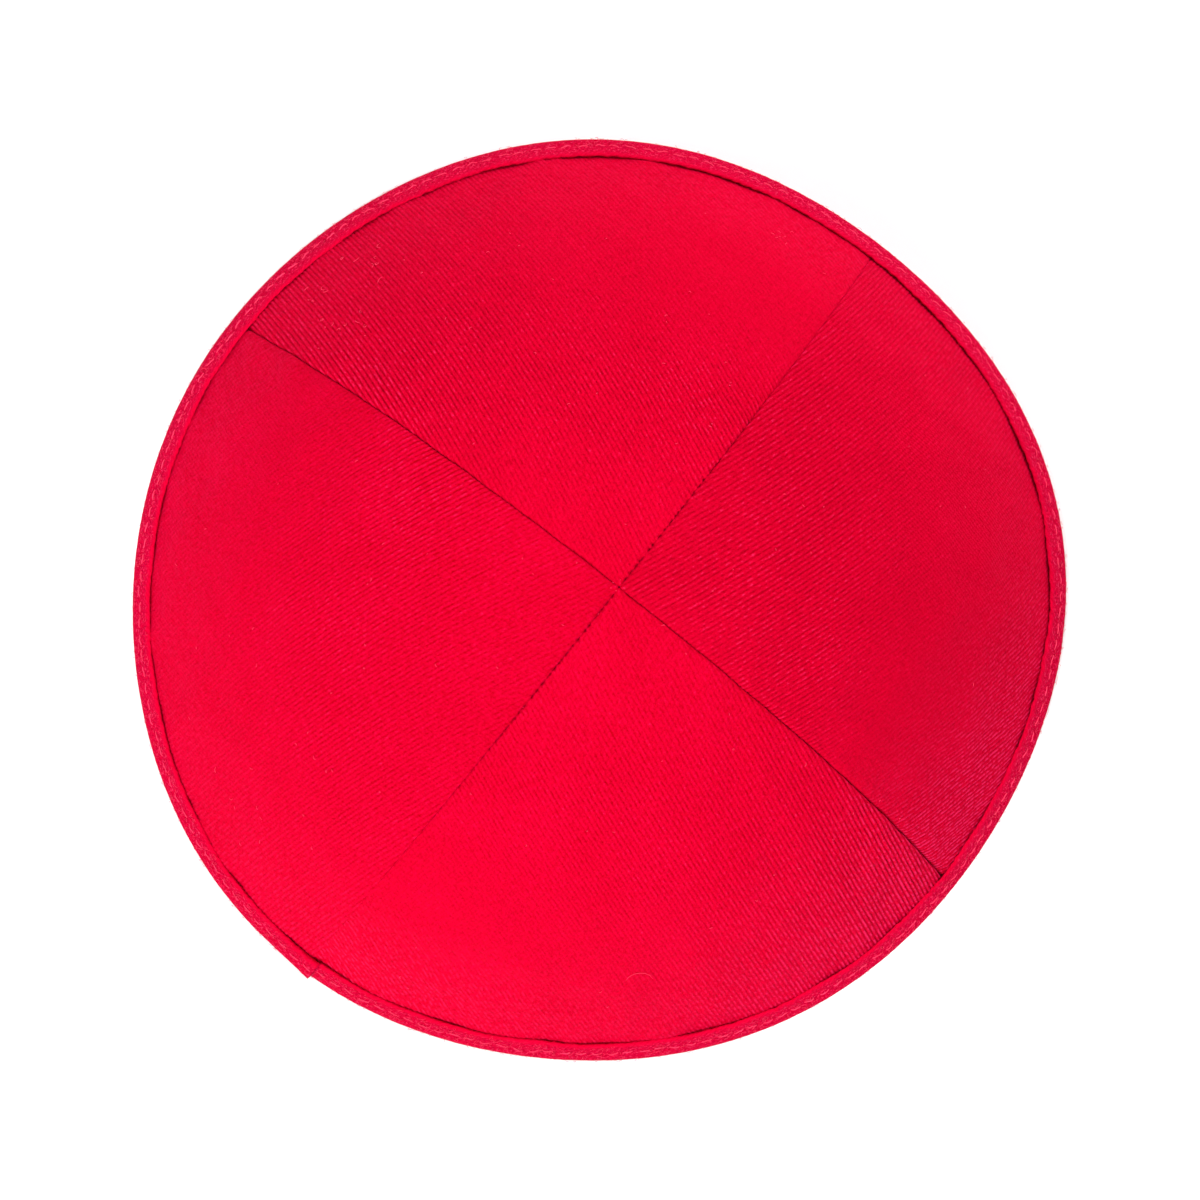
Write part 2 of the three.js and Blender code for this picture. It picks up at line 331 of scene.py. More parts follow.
def rib_lines(panel):
    """Grid of cloth coordinates: lines along the ribs from edge to edge, with more points at the ends."""
    edge_across, edge_along = panel_outline(panel)
    spacing = panel["pitch"] / LINES_PER_RIB
    first = math.ceil(edge_across.min() / spacing) + 1
    last = math.floor(edge_across.max() / spacing) - 1
    across = np.arange(first, last + 1) * spacing
    here, there = edge_across[:-1], edge_across[1:]
    crossed = (here - across[:, None]) * (there - across[:, None]) <= 0
    run = np.where(here == there, 1, there - here)
    share = np.clip((across[:, None] - here) / run, 0, 1)
    met = edge_along[:-1] + share * np.diff(edge_along)
    low = np.where(crossed, met, np.inf).min(axis=1)
    high = np.where(crossed, met, -np.inf).max(axis=1)
    even = np.linspace(0, 1, POINTS_PER_LINE)
    steps = even - END_CROWDING * np.sin(2 * math.pi * even) / (2 * math.pi)
    along = low[:, None] + (high - low)[:, None] * steps
    return np.broadcast_to(across[:, None], along.shape).copy(), along


def share_across(panel, angle):
    """How far across the panel a point is, from 0 at its first seam to 1 at the next."""
    start, end = math.radians(panel["from_deg"]), math.radians(panel["to_deg"])
    return np.clip(0.5 + turned_from(angle, (start + end) / 2) / (end - start), 0, 1)


def from_rows(shares, rows, across, share):
    """A value between rows at shares of the way down, each with its value at 0, half and 1 across."""
    values = [np.interp(across, [0, 0.5, 1], row) for row in rows]
    total = values[0]
    for here, there, low, high in zip(shares[:-1], shares[1:], values[:-1], values[1:]):
        total = total + (high - low) * np.clip((share - here) / (there - here), 0, 1)
    return total


def rib_strength(panel, angle, share):
    """How high the ribs stand; the material also paints shade into their valleys and light onto their
    crests by it.
    """
    return from_rows(RIB_ROWS, panel["ribs"], share_across(panel, angle), share)


def crest_sheen_and_wear(panel, angle, share):
    """How much the crests of the ribs are painted pink: painted sheen as well as wear."""
    return from_rows(SHEEN_AND_WEAR_ROWS, panel["worn_and_sheen"], share_across(panel, angle), share)


def seam_drop(panel, angle, radius):
    """How far the cloth rolls down beside the panel's two seams."""
    drop = np.zeros_like(radius)
    for edge_deg in (panel["from_deg"], panel["to_deg"]):
        seam = min(SEAMS, key=lambda row: abs(turned_from(math.radians(row["deg"] - edge_deg), 0)))
        away = radius * np.abs(np.sin(turned_from(angle, math.radians(edge_deg))))
        outwards = radius / RIM_RADIUS
        depth = seam["top"] + (seam["rim"] - seam["top"]) * np.clip(2 * outwards - 0.6, 0, 1)
        depth = depth * np.clip(radius / SEAM_FADES_WITHIN, 0, 1)
        uneven = 0.22 * MM * ripple(radius[..., None], 4 * MM, 41)
        uneven = uneven + 0.12 * MM * ripple(radius[..., None], MM, 42)
        pulls = np.clip(0.5 + np.cos(2 * math.pi * (radius + uneven) / SEAM_STITCH_PITCH), 0, 1)
        depth = depth * (1 - seam["stitched"] * np.clip(1.5 - outwards * 1.6, 0, 1) * (1 - pulls))
        roll = ROLL_DEPTH * np.clip(1 - away / ROLL_WIDTH, 0, 1) ** 2
        drop += depth * (roll + CREASE_DEPTH * np.exp(-away / CREASE_WIDTH))
    return drop


def rib_profile(across, panel):
    """Height of the twill: one rounded rib for each pitch, with a narrow valley between two."""
    phase = across / panel["pitch"] % 1
    return np.abs(np.sin(math.pi * phase)) ** 0.8


def crown_panel(panel, seed):
    """One sewn panel as a closed body: ribbed outside, plain inside, with the allowances pressed flat."""
    across, along = rib_lines(panel)
    angle, radius = plan_of_cloth(panel, across, along)
    share = share_at_radius(angle, radius)
    cloth = np.stack([across, along], axis=-1)
    swell = SWELL["depth"] * ripple(cloth, SWELL["wave"], seed)
    swell = swell + PUCKER["depth"] * ripple(cloth, PUCKER["wave"], seed + 1)
    strength = rib_strength(panel, angle, share)
    height = RIB_HEIGHT * strength * (1 + 0.2 * ripple(cloth * [0.4, 1], 3 * MM, seed + 2))
    relief = height * (rib_profile(across, panel) - RIB_MIDDLE)
    outer = crown_point(angle, share, swell + relief - seam_drop(panel, angle, radius))

    lines = np.unique(np.append(np.arange(0, len(across), LINES_PER_RIB), len(across) - 1))
    edges = [math.radians(panel[edge]) for edge in ("from_deg", "to_deg")]
    beside = np.min([radius * np.abs(np.sin(turned_from(angle, edge))) for edge in edges], axis=0)
    doubled = np.clip((ALLOWANCE_WIDTH - beside) / MM, 0, 1)
    doubled = doubled * np.clip((ALLOWANCE_END_SHARE - share) * 40, 0, 1)
    inside = crown_point(angle, share, -CLOTH_WALL - ALLOWANCE_THICKNESS * doubled)[lines]

    middle = sum(edges) / 2
    moved = SEAM_GAP / math.sqrt(2) * np.array([math.cos(middle), math.sin(middle), 0]) - CENTRE
    points = np.concatenate([outer.reshape(-1, 3), inside.reshape(-1, 3)]) + moved
    weave = np.stack([across / panel["pitch"], along / MM], axis=-1)
    weave = np.concatenate([weave.reshape(-1, 2), weave[lines].reshape(-1, 2)])

    top = np.arange(across.size).reshape(across.shape)
    under = across.size + np.arange(len(lines) * POINTS_PER_LINE).reshape(len(lines), -1)
    quads = np.concatenate([grid_faces(top), grid_faces(under)[:, ::-1], *side_walls(top, under)])
    piece = make_piece(f"twill_panel_{panel['name']}", points, quads, end_walls(top, under, lines), weave)
    # The material reads per point how high the ribs stand and how much the crests are painted pink, painted
    # sheen as well as wear.
    for name, values in (("rib_strength", strength), ("crest_sheen_and_wear", crest_sheen_and_wear(panel, angle, share))):
        layer = piece.data.attributes.new(name, "FLOAT", "POINT")
        layer.data.foreach_set("value", np.concatenate([values.ravel(), values[lines].ravel()]))
    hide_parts(f"crown_panel_{panel['name']}")
    return piece


def grid_faces(index):
    """Faces of a grid of corner numbers."""
    corners = [index[:-1, :-1], index[:-1, 1:], index[1:, 1:], index[1:, :-1]]
    return np.stack(corners, axis=-1).reshape(-1, 4)


def side_walls(top, under):
    """Faces between the outer and the inner cloth along the first and the last rib line."""
    first = np.stack([top[0, 1:], top[0, :-1], under[0, :-1], under[0, 1:]], axis=-1)
    last = np.stack([top[-1, :-1], top[-1, 1:], under[-1, 1:], under[-1, :-1]], axis=-1)
    return first, last


def end_walls(top, under, lines):
    """Faces between the outer and the inner cloth where the rib lines start and end."""
    walls = []
    for row, (start, stop) in enumerate(zip(lines[:-1], lines[1:])):
        walls.append([*top[start:stop + 1, 0], under[row + 1, 0], under[row, 0]])
        walls.append([*top[start:stop + 1, -1][::-1], under[row, -1], under[row + 1, -1]])
    return [[int(corner) for corner in wall] for wall in walls]


# The binding: its own coordinates are round the rim from the lapped end, and up the crown's slope.
def smooth_section():
    """The binding's section as rows of up, out, gap and free, rounded through the named rows."""
    rows = np.array([[row["up"] * MM, row["out"] * MM, row["gap"], row["free"]] for row in BINDING_SECTION])
    points = []
    for index, row in enumerate(BINDING_SECTION):
        before, here, after, beyond = (rows[(index + step) % len(rows)] for step in (-1, 0, 1, 2))
        for t in np.arange(row["points"]) / row["points"]:
            bend = 2 * before - 5 * here + 4 * after - beyond
            twist = 3 * here - before - 3 * after + beyond
            points.append(here + ((after - before) * t + bend * t**2 + twist * t**3) / 2)
    return np.array(points)


def outer_leg(up):
    """How far the binding's outer leg stands out at a distance up the slope."""
    leg = [row for row in reversed(BINDING_SECTION) if row["free"] == 1]
    return MM * np.interp(up / MM, [row["up"] for row in leg], [row["out"] for row in leg])


def tape_relief(around, up):
    """Creases of the outer leg: pulled in by the stitches, twisted between them, and softly lumpy."""
    cloth = np.stack([around, up], axis=-1)
    needle = (1 + np.cos(2 * math.pi * around / STITCH_PITCH)) / 2
    row = np.exp(-(((up - STITCH_UP) / PULL["row"]) ** 2))
    pinch = -(PULL["between"] + PULL["at_needle"] * needle) * row
    wander = TWIST["wander"] * ripple(cloth, 9 * MM, 11)
    strength = np.clip(0.5 + 0.5 * ripple(cloth, 12 * MM, 12), 0, 1.3)
    turns = 2 * math.pi * (around + TWIST["slant"] * up) / TWIST["pitch"]
    twist = TWIST["height"] * strength * np.sin(turns + wander)
    lumps = sum(depth * ripple(cloth, wave, seed) for depth, wave, seed in LUMPS)
    calm = np.clip(up / (2 * MM), 0.25, 1)
    return pinch + calm * (twist * (1 - 0.6 * row) + lumps)


def tape_gap(angle, around):
    """How far the tape's edge stands off the crown."""
    share = (1 + np.cos(angle - math.radians(TAPE_GAP["most_deg"]))) / 2
    uneven = 1 + 0.2 * ripple(around[..., None], 2.5 * MM, 17)
    return uneven * (TAPE_GAP["least"] + (TAPE_GAP["most"] - TAPE_GAP["least"]) * share)


def tape_rise(angle):
    """How much further up the slope the tape's edge is than in the section."""
    return TAPE_RISE["mean"] + TAPE_RISE["swing"] * np.cos(angle - math.radians(TAPE_RISE["most_deg"]))


def tape_point(around, up, out, gap, free):
    """Point of the binding's section, with the lift of the lapped end and the creases of the cloth."""
    angle = math.radians(LAP["end_deg"]) + around / RIM_RADIUS
    before_end = 2 * math.pi * RIM_RADIUS - around
    under = np.clip(1 - before_end / LAP["length"], 0, 1)
    lifted = LAP["rise"] * under**2 * (3 - 2 * under)
    corner = LAP["corner_out"] * np.clip(1 - before_end / LAP["corner"], 0, 1) ** 2
    low = np.clip(1.3 - up / (4 * MM), 0, 1)
    near_edge = np.clip(up / (5 * MM), 0, 1) ** 2 * (free > 0)
    edge = around[..., None]
    wavy = 0.14 * MM * ripple(edge, 16 * MM, 15) + 0.035 * MM * ripple(edge, 2 * MM, 16)
    raised = up + near_edge * (tape_rise(angle) + wavy)
    stands = out + gap * tape_gap(angle, around) + free * (lifted + corner * low + tape_relief(around, up))
    point = crown_point(angle, share_up(angle, raised), stands)
    point[..., 2] = np.maximum(point[..., 2], 0)
    return point - CENTRE


def rim_binding():
    """The folded tape round the rim as one closed ring."""
    section = smooth_section()
    around = np.linspace(LAP_EDGE, 2 * math.pi * RIM_RADIUS, BINDING_COLUMNS)
    shape = (len(around), len(section))
    up, out, gap, free = (np.broadcast_to(column, shape) for column in section.T)
    round_rim = np.broadcast_to(around[:, None], shape)
    points = tape_point(round_rim, up, out, gap, free)
    index = np.arange(points.size // 3).reshape(shape)
    index = np.concatenate([index, index[:1]])
    index = np.concatenate([index, index[:, :1]], axis=1)
    girth = np.cumsum(np.linalg.norm(np.diff(section[:, :2], axis=0, append=section[:1, :2]), axis=1))
    weave = np.stack([round_rim / MM, np.broadcast_to(girth / MM, shape)], axis=-1)
    piece = make_piece("bias_binding", points.reshape(-1, 3), grid_faces(index), weave=weave.reshape(-1, 2))
    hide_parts("rim_binding")
    return piece


# Threads and loose fibres: many small closed tubes in one mesh.
def unit(vectors):
    """The vectors made one long."""
    return vectors / np.linalg.norm(vectors, axis=-1, keepdims=True)


def joined_tubes(name, centres, normals, radii, sides):
    """Closed tubes along many centre lines, with their own radius at each step."""
    count, steps, _ = centres.shape
    tangents = unit(np.gradient(centres, axis=1))
    sideways = unit(np.cross(tangents, normals))
    upwards = np.cross(sideways, tangents)
    turns = 2 * math.pi * np.arange(sides)[:, None] / sides
    ring = np.cos(turns) * upwards[:, :, None] + np.sin(turns) * sideways[:, :, None]
    points = centres[:, :, None] + np.reshape(radii, (-1, steps, 1, 1)) * ring
    index = np.arange(count * steps * sides).reshape(count, steps, sides)
    here, there = index[:, :-1], index[:, 1:]
    corners = [here, np.roll(here, -1, axis=2), np.roll(there, -1, axis=2), there]
    quads = np.stack(corners, axis=-1).reshape(-1, 4)
    caps = index[:, 0, ::-1].tolist() + index[:, -1].tolist()
    length = np.broadcast_to(np.arange(steps)[None, :, None], index.shape)
    weave = np.stack([length, np.broadcast_to(np.arange(sides), index.shape)], axis=-1)
    return make_piece(name, points.reshape(-1, 3), quads, caps, weave.reshape(-1, 2))


def topstitching():
    """The row of stitches on the binding: each dips into the tape at both ends."""
    draws = np.random.default_rng(21)
    whole = 2 * math.pi * RIM_RADIUS - 2 * LAP_EDGE
    count = round(whole / STITCH_PITCH)
    middle = STITCH_PITCH * (np.arange(count)[:, None] + 0.5)
    t = np.linspace(-1, 1, 9)
    slant = draws.normal(0, 0.18 * MM, (count, 1))
    around = middle + t * STITCH_LENGTH / 2 + draws.normal(0, 0.15 * MM, (count, 1))
    bow = draws.normal(0, 0.16 * MM, (count, 1)) * (1 - t**2)
    up = STITCH_UP + slant * t + bow + draws.normal(0, 0.12 * MM, (count, 1))
    arch = outer_leg(STITCH_UP) + 0.08 * MM - 0.4 * MM * np.abs(t) ** 6
    gap = np.full_like(around, 0.15)
    centres = tape_point(around, up, np.broadcast_to(arch, around.shape), gap, np.ones_like(around))
    outer = tape_point(around, up, np.broadcast_to(arch + MM, around.shape), gap, np.ones_like(around))
    radii = THREAD_RADIUS * (1 - 0.35 * np.abs(t) ** 4)
    return joined_tubes("topstitch_thread", centres, unit(outer - centres), radii, 7)


def seam_thread():
    """Small bars of thread that show down in the creases of the seams."""
    draws = np.random.default_rng(22)
    centres, normals = [], []
    t = np.linspace(-1, 1, 5)
    count = round(SEAM_THREAD_REACH / SEAM_STITCH_PITCH)
    for seam in SEAMS:
        if not seam["stitched"]:
            continue
        radius = SEAM_STITCH_PITCH * (np.arange(2, count) + 0.5)[:, None]
        radius = radius + draws.normal(0, 0.1 * MM, radius.shape)
        angle = math.radians(seam["deg"]) + t * 0.45 * MM / radius
        share = share_at_radius(angle, np.broadcast_to(radius, angle.shape))
        sunk = -(0.78 + 0.25 * t**2) * MM
        low = crown_point(angle, share, sunk)
        centres.append(low - CENTRE)
        normals.append(unit(crown_point(angle, share, sunk + MM) - low))
    radii = 0.12 * MM * (1 - 0.3 * np.abs(t) ** 4)
    return joined_tubes("seam_thread", np.concatenate(centres), np.concatenate(normals), radii, 6)


def loose_fibres(name, angle, share, out, length, curl, thickness, seed):
    """Fine curled fibres that lie on the cloth at the given places."""
    draws = np.random.default_rng(seed)
    count = len(angle)
    heading = draws.uniform(0, 2 * math.pi, (count, 1))
    t = np.linspace(-0.5, 0.5, 7)
    curl = draws.normal(0, 1, (count, 1)) * curl * t
    run = draws.uniform(0.5, 1, (count, 1)) * length
    far = np.maximum(share[:, None], 0.05) * RIM_RADIUS
    angle = angle[:, None] + run * t * np.cos(heading + curl) / far
    share = share[:, None] + run * t * np.sin(heading + curl) / RIM_RADIUS * 0.6
    lift = out + draws.uniform(0, 1, (count, 1)) * thickness * 4 * np.sin(math.pi * (t + 0.5))
    low = crown_point(angle, share, lift)
    normals = unit(crown_point(angle, share, lift + MM) - low)
    radii = thickness * np.array([0.3, 0.8, 1, 1, 1, 0.8, 0.3])
    return joined_tubes(name, low - CENTRE, normals, radii, 3)


def binding_fuzz():
    """Worn fibres all over the outside of the tape."""
    draws = np.random.default_rng(31)
    angle = draws.uniform(0, 2 * math.pi, FUZZ["count"])
    up = draws.uniform(FUZZ["lowest"], FUZZ["highest"], FUZZ["count"])
    out = (outer_leg(up) + 0.08 * MM)[:, None]
    share = share_up(angle, up)
    return loose_fibres("binding_fuzz", angle, share, out, FUZZ["length"], 1.8, FUZZ["radius"], 32)


def crown_lint():
    """Lint on the crown, strewn round the places in the list."""
    draws = np.random.default_rng(33)
    angles, shares, lengths, curls = [], [], [], []
    for row in LINT:
        aside = row["strewn"] * np.sqrt(draws.uniform(0, 1, row["count"]))
        heading = draws.uniform(0, 2 * math.pi, row["count"])
        far = row["share"] * RIM_RADIUS
        x = far * math.cos(math.radians(row["deg"])) + aside * np.cos(heading)
        y = far * math.sin(math.radians(row["deg"])) + aside * np.sin(heading)
        angles.append(np.arctan2(y, x))
        shares.append(np.minimum(np.hypot(x, y) / RIM_RADIUS, 0.93))
        lengths.append(np.full(row["count"], row["length"]))
        curls.append(np.full(row["count"], row["curl"]))
    angle, share = np.concatenate(angles), np.concatenate(shares)
    length, curl = np.concatenate(lengths)[:, None], np.concatenate(curls)[:, None]
    return loose_fibres("crown_lint", angle, share, 0.1 * MM, length, curl, LINT_RADIUS, 34)


# Materials. A hump is the rounded shape of one rib or yarn, and this is its mean height.
MEAN_HUMP = 0.62


class Shading:
    """Adds nodes to one material, with their inputs set or linked by name."""

    def __init__(self, name):
        self.material = bpy.data.materials.new(name)
        self.material.use_nodes = True
        self.tree = self.material.node_tree
        self.shader = self.tree.nodes["Principled BSDF"]

    def fill(self, node, inputs):
        for socket, value in inputs.items():
            if isinstance(value, bpy.types.NodeSocket):
                self.tree.links.new(value, node.inputs[socket])
            else:
                node.inputs[socket].default_value = value

    def add(self, kind, inputs=None, **settings):
        node = self.tree.nodes.new(kind)
        for setting, value in settings.items():
            setattr(node, setting, value)
        self.fill(node, inputs or {})
        return node

    def maths(self, operation, *values):
        node = self.add("ShaderNodeMath", dict(enumerate(values)), operation=operation)
        return node.outputs[0]

    def clipped(self, value, most=1):
        """The value, held between 0 and most."""
        return self.maths("MINIMUM", self.maths("MAXIMUM", value, 0), most)

    def humps(self, value, step=math.pi):
        """Rounded humps along the value, each half a turn of a sine."""
        return self.maths("ABSOLUTE", self.maths("SINE", self.maths("MULTIPLY", value, step)))

    def added(self, total, value, middle, weight):
        """The total and, by weight, how far the value is over its middle."""
        return self.maths("MULTIPLY_ADD", self.maths("ADD", value, -middle), weight, total)

    def noise(self, place, scale, detail=2, roughness=0.5):
        inputs = {"Vector": place, "Scale": scale, "Detail": detail, "Roughness": roughness}
        return self.add("ShaderNodeTexNoise", inputs).outputs["Fac"]

    def scaled(self, place, factors):
        inputs = {0: place, 1: factors}
        return self.add("ShaderNodeVectorMath", inputs, operation="MULTIPLY").outputs[0]

    def ramp(self, value, stops):
        node = self.add("ShaderNodeValToRGB", {"Fac": value})
        elements = node.color_ramp.elements
        while len(elements) < len(stops):
            elements.new(0.5)
        for element, (position, colour) in zip(elements, stops):
            element.position = position
            element.color = (*colour, 1)
        return node.outputs["Color"]

    def mixed(self, share, first, second):
        inputs = {"Factor": share, "A": first, "B": second}
        return self.add("ShaderNodeMix", inputs, data_type="RGBA").outputs["Result"]

    def bump(self, height, distance, strength=1.0, normal=None):
        inputs = {"Height": height, "Distance": distance, "Strength": strength}
        if normal is not None:
            inputs["Normal"] = normal
        return self.add("ShaderNodeBump", inputs).outputs["Normal"]


def toned(colour, painted_shade):
    """The colour, darkened by a panel's painted shade."""
    return tuple(channel * painted_shade for channel in colour)


def matt_cotton(shading, colour, fibres, sheen, sheen_roughness, normal):
    """Sets the shader to cloth with hardly any gloss and a soft sheen."""
    shading.fill(shading.shader, {
        "Base Color": colour,
        "Roughness": shading.maths("MULTIPLY_ADD", fibres, 0.15, 0.8),
        "Specular IOR Level": 0.015,
        "Specular Tint": (1.0, 0.02, 0.3, 1),
        "Sheen Weight": sheen,
        "Sheen Roughness": sheen_roughness,
        "Sheen Tint": (1.0, 0.0, 0.36, 1),
        "Normal": normal,
    })


def twill_patterns(shading):
    """Patterns of the twill: rib crests, the yarns over them, streaks, fibres, patches and dashes."""
    weave = shading.add("ShaderNodeUVMap", uv_map="weave").outputs["UV"]
    apart = shading.add("ShaderNodeSeparateXYZ", {"Vector": weave})
    ribs, run = apart.outputs["X"], apart.outputs["Y"]
    streaks = shading.noise(shading.scaled(weave, (1.7, 0.8, 1)), 1.0, 3, 0.65)
    dashes = shading.noise(shading.scaled(weave, (1.1, 0.75, 1)), 1.0, 1)
    lay = shading.maths("MULTIPLY_ADD", run, 1.15, shading.maths("MULTIPLY", ribs, 0.5))
    lay = shading.maths("MULTIPLY_ADD", streaks, 1.6, lay)
    return {
        "crest": shading.humps(ribs),
        "yarn": shading.humps(lay),
        "streaks": streaks,
        "fibres": shading.noise(shading.scaled(weave, (5, 3, 1)), 1.0, 3, 0.7),
        "patches": shading.noise(shading.scaled(weave, (0.06, 0.05, 1)), 1.0, 2),
        "dashes": shading.clipped(shading.maths("MULTIPLY_ADD", dashes, 7, -3.1)),
    }


def twill_level(shading, patterns):
    """How light the twill is painted from place to place: 0 in a valley painted in shade and 1 on a crest
    painted light, with sheen and wear.
    """
    strength = shading.add("ShaderNodeAttribute", attribute_name="rib_strength").outputs["Fac"]
    slubs = shading.maths("ADD", patterns["dashes"], 0.45)
    # Painted shade in the valleys and painted light on the crests, as strong as the ribs stand; the yarns,
    # streaks, fibres and patches below are the cloth's own unevenness.
    ribs = shading.maths("MULTIPLY", shading.maths("ADD", patterns["crest"], -MEAN_HUMP), strength)
    level = shading.maths("MULTIPLY_ADD", shading.maths("MULTIPLY", ribs, slubs), 0.36, 0.48)
    level = shading.added(level, patterns["yarn"], MEAN_HUMP, 0.1)
    level = shading.added(level, patterns["streaks"], 0.5, 1.0)
    level = shading.added(level, patterns["fibres"], 0.5, 0.8)
    return shading.added(level, patterns["patches"], 0.5, 0.25)


def twill_sheen_and_wear(shading, patterns, level):
    """Where the twill is painted a lighter pink: specks of fibre all over, and dashes on the crests near
    the rim and a faint pink low down, which are painted sheen as well as wear.
    """
    specks = shading.added(shading.maths("ADD", level, -0.7), patterns["fibres"], 0.62, 6)
    specks = shading.clipped(specks, 0.8)
    # A faint pink low on the crown and pink dashes on the crests near the rim: painted sheen as well as
    # wear.
    place = shading.add("ShaderNodeTexCoord").outputs["Object"]
    above_floor = shading.add("ShaderNodeSeparateXYZ", {"Vector": place}).outputs["Z"]
    low = shading.maths("MAXIMUM", shading.maths("MULTIPLY_ADD", above_floor, -1 / SHEEN_AND_WEAR_HEIGHT, 1.0), 0)
    crest_sheen_and_wear = shading.add("ShaderNodeAttribute", attribute_name="crest_sheen_and_wear").outputs["Fac"]
    tops = shading.maths("MULTIPLY", shading.maths("POWER", patterns["crest"], 4), crest_sheen_and_wear)
    tops = shading.maths("MULTIPLY_ADD", low, 0.05, shading.maths("MULTIPLY", tops, 1.2))
    tops = shading.maths("MULTIPLY", tops, shading.maths("MULTIPLY_ADD", patterns["dashes"], 2.0, 0.1))
    return shading.maths("MAXIMUM", specks, tops)


def twill_material(panel):
    """Matt cotton twill: streaky yarns over each rib, painted shade in the valleys, crests painted light
    and pink with sheen as well as wear, and a soft sheen.
    """
    shading = Shading(f"twill_{panel['name']}")
    patterns = twill_patterns(shading)
    level = twill_level(shading, patterns)
    # Every colour is darkened by the panel's painted shade, for how the light falls across its twill.
    deep = toned((0.38, 0.0003, 0.017 - 0.008 * panel["painted_sheen"]), panel["painted_shade"])
    body = toned((0.55, 0.0004, 0.017), panel["painted_shade"])
    bright = toned((0.63, 0.0006, 0.017 + 0.009 * panel["painted_sheen"]), panel["painted_shade"])
    worn_and_sheen = toned((0.72, 0.014, 0.085), panel["painted_shade"])
    # The ramp paints shade into the valleys (deep) and light onto the crests (bright), and its pink top
    # colour is painted sheen as well as wear.
    colour = shading.ramp(level, [(0.1, deep), (0.45, body), (0.75, bright), (1.0, worn_and_sheen)])
    colour = shading.mixed(twill_sheen_and_wear(shading, patterns, level), colour, (*worn_and_sheen, 1))
    height = shading.maths("MULTIPLY_ADD", patterns["yarn"], 0.7, patterns["fibres"])
    height = shading.maths("MULTIPLY_ADD", patterns["streaks"], 1.5, height)
    matt_cotton(shading, colour, patterns["fibres"], 0.07, 0.45, shading.bump(height, 0.09 * MM, 0.8))
    return shading.material


def tape_material():
    """Brushed bias tape of the same cotton: smooth at its upper fold, and worn and pilled below it."""
    shading = Shading("bias_tape")
    weave = shading.add("ShaderNodeUVMap", uv_map="weave").outputs["UV"]
    apart = shading.add("ShaderNodeSeparateXYZ", {"Vector": weave})
    round_rim, girth = apart.outputs["X"], apart.outputs["Y"]
    below_fold = shading.clipped(shading.maths("ADD", girth, -3.1))
    slub = shading.noise(weave, 0.7, 3)
    lay = shading.maths("MULTIPLY_ADD", slub, 1.6, shading.maths("ADD", girth, round_rim))
    rib = shading.humps(lay, 2.6)
    fibres = shading.noise(shading.scaled(weave, (3.0, 4.5, 1)), 1.0, 4, 0.75)
    pills = shading.noise(shading.scaled(weave, (1.5, 2.8, 1)), 1.0, 4, 0.65)
    level = shading.maths("MULTIPLY_ADD", shading.maths("ADD", rib, -MEAN_HUMP), 0.2, 0.56)
    grain = shading.maths("MULTIPLY", shading.maths("ADD", fibres, -0.5), 2.6)
    roughened = shading.maths("MULTIPLY_ADD", below_fold, 0.75, 0.25)
    level = shading.maths("MULTIPLY_ADD", grain, roughened, level)
    deep, body = (0.44, 0.0003, 0.012), (0.65, 0.0005, 0.025)
    bright, pilled = (0.76, 0.0015, 0.042), (0.82, 0.016, 0.09)
    colour = shading.ramp(level, [(0.15, deep), (0.48, body), (0.8, bright), (1.0, pilled)])
    specks = shading.maths("SMOOTH_MIN", shading.maths("MULTIPLY_ADD", pills, 16, -8.8), 1, 0.3)
    specks = shading.maths("MULTIPLY", shading.maths("MAXIMUM", specks, 0), below_fold)
    colour = shading.mixed(specks, colour, (0.86, 0.03, 0.11, 1))
    height = shading.maths("MULTIPLY_ADD", pills, 1.2, level)
    matt_cotton(shading, colour, fibres, 0.1, 0.4, shading.bump(height, 0.18 * MM, 1.0))
    return shading.material


def thread_material(name, dark, light):
    """Soft twisted thread."""
    shading = Shading(name)
    weave = shading.add("ShaderNodeUVMap", uv_map="weave").outputs["UV"]
    apart = shading.add("ShaderNodeSeparateXYZ", {"Vector": weave})
    ply = shading.maths("ADD", apart.outputs["X"], apart.outputs["Y"])
    twist = shading.humps(ply, 1.2)
    place = shading.add("ShaderNodeTexCoord").outputs["Object"]
    uneven = shading.noise(place, 900, 2)
    colour = shading.ramp(shading.maths("MULTIPLY_ADD", twist, 0.5, uneven), [(0.3, dark), (0.9, light)])
    shading.fill(shading.shader, {
        "Base Color": colour,
        "Roughness": shading.maths("MULTIPLY_ADD", uneven, 0.2, 0.6),
        "Specular IOR Level": 0.15,
        "Specular Tint": (1.0, 0.1, 0.4, 1),
        "Sheen Weight": 0.12,
        "Sheen Tint": (1.0, 0.1, 0.35, 1),
        "Normal": shading.bump(twist, 0.05 * MM, 0.6),
    })
    return shading.material


def floor_material():
    """Plain white paper."""
    shading = Shading("white_floor")
    grain = shading.noise(shading.add("ShaderNodeTexCoord").outputs["Object"], 60, 2)
    shading.fill(shading.shader, {
        "Base Color": (0.93, 0.93, 0.93, 1),
        "Roughness": 0.9,
        "Specular IOR Level": 0.05,
        "Normal": shading.bump(grain, 0.02 * MM, 0.2),
    })
    return shading.material


